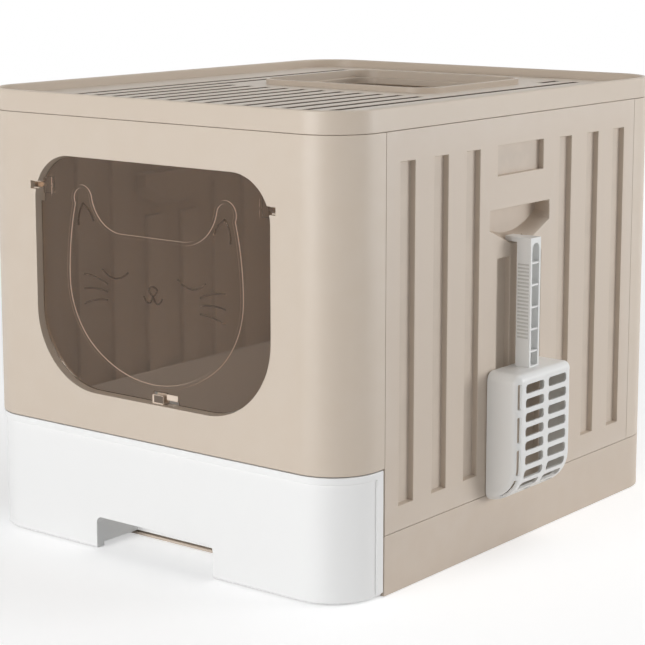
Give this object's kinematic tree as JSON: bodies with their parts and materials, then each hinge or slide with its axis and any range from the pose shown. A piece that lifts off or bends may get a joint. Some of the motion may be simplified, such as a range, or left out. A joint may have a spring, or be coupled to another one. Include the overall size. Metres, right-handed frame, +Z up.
{
  "type": "drawer litter box",
  "caption": "Enclosed litter box of moulded panels on a low base, with swinging front door, slotted lid with exit hole, pull-out drawer and a hanging slotted scoop.",
  "frame": {"origin": "centre of the base's underside, on the floor", "axes": "+Z up, +Y to the back, -Y is the front with the door and drawer, +X to the right, where the scoop hangs"},
  "size_m": [0.439, 0.498, 0.393],
  "materials": {
    "shell_plastic": "warm beige, fine moulded grain",
    "panel_plastic": "warm beige, fine moulded grain",
    "lid_plastic": "warm beige, fine moulded grain",
    "steel": "drawn wire",
    "pin_plastic": "plain moulded",
    "drawer_plastic": "white, satin",
    "smoked_plastic": "clear brown-grey, polished",
    "catch_plastic": "plain moulded",
    "scoop_plastic": "white, satin"
  },
  "bodies": {
    "housing": {"base_frame": "shell_plastic", "front_shell": "shell_plastic", "rear_shell": "shell_plastic", "left_side_panel": "panel_plastic", "right_side_panel": "panel_plastic", "left_hinge_rod": "steel", "right_hinge_rod": "steel", "front_shell_pins": "pin_plastic", "rear_shell_pins": "pin_plastic"},
    "drawer": {"drawer": "drawer_plastic"},
    "door": {"door_flap": "smoked_plastic"},
    "catch": {"door_catch": "catch_plastic"},
    "lid": {"lid": "lid_plastic"},
    "scoop": {"scoop": "scoop_plastic"}
  },
  "joints": [
    {"name": "drawer_slide", "type": "slide", "parent": "housing", "child": "drawer", "axis": [0, -1, 0], "range_m": [0, 0.4]},
    {"name": "door_swing", "type": "hinge", "parent": "housing", "child": "door", "pos_m": [0, -0.2415, 0.3125], "axis": [1, 0, 0], "range_deg": [-80, 80]},
    {"name": "catch_slide", "type": "slide", "parent": "housing", "child": "catch", "axis": [1, 0, 0], "range_m": [0, 0.013]},
    {"name": "lid_lift", "type": "slide", "parent": "housing", "child": "lid", "axis": [0, 0, 1], "range_m": [0, 0.06]},
    {"name": "scoop_lift", "type": "slide", "parent": "housing", "child": "scoop", "axis": [0.3162, 0, 0.9487], "range_m": [0, 0.06]}
  ]
}
